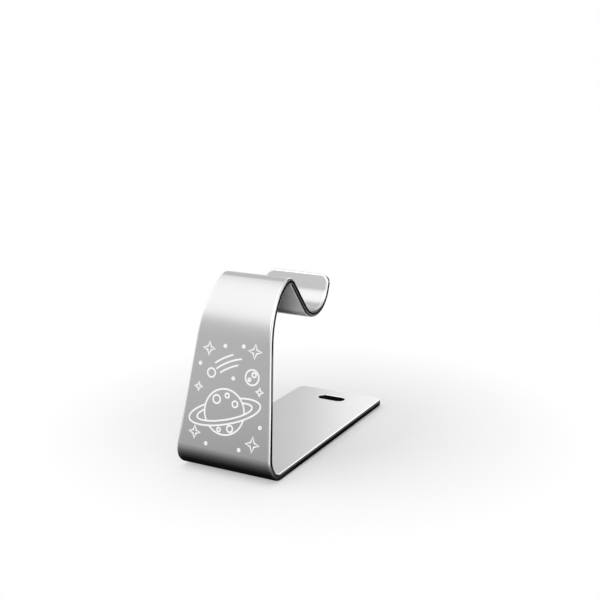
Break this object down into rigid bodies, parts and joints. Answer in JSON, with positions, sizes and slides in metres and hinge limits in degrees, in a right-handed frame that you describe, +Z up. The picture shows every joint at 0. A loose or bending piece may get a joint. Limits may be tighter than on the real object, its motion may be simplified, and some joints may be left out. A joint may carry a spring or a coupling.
{
  "type": "game controller stand",
  "caption": "Desk stand for a game controller, folded from a tapered aluminium strip: slotted base, leaning front with line art, tight peak and hooked cradle.",
  "frame": {"origin": "centre of the footprint, on the surface that the stand rests on", "axes": "+X across the strip to the right seen from the front, +Y towards the back of the base, +Z up"},
  "size_m": [0.04, 0.098, 0.0698],
  "materials": {
    "anodised_aluminium": "satin, bead-blasted all over, with rounded edges",
    "pad_rubber": "matt"
  },
  "bodies": {
    "root": {"folded_strip": "anodised_aluminium", "foot_pad_front_left": "pad_rubber", "foot_pad_front_right": "pad_rubber", "foot_pad_back_left": "pad_rubber", "foot_pad_back_right": "pad_rubber"}
  },
  "joints": []
}
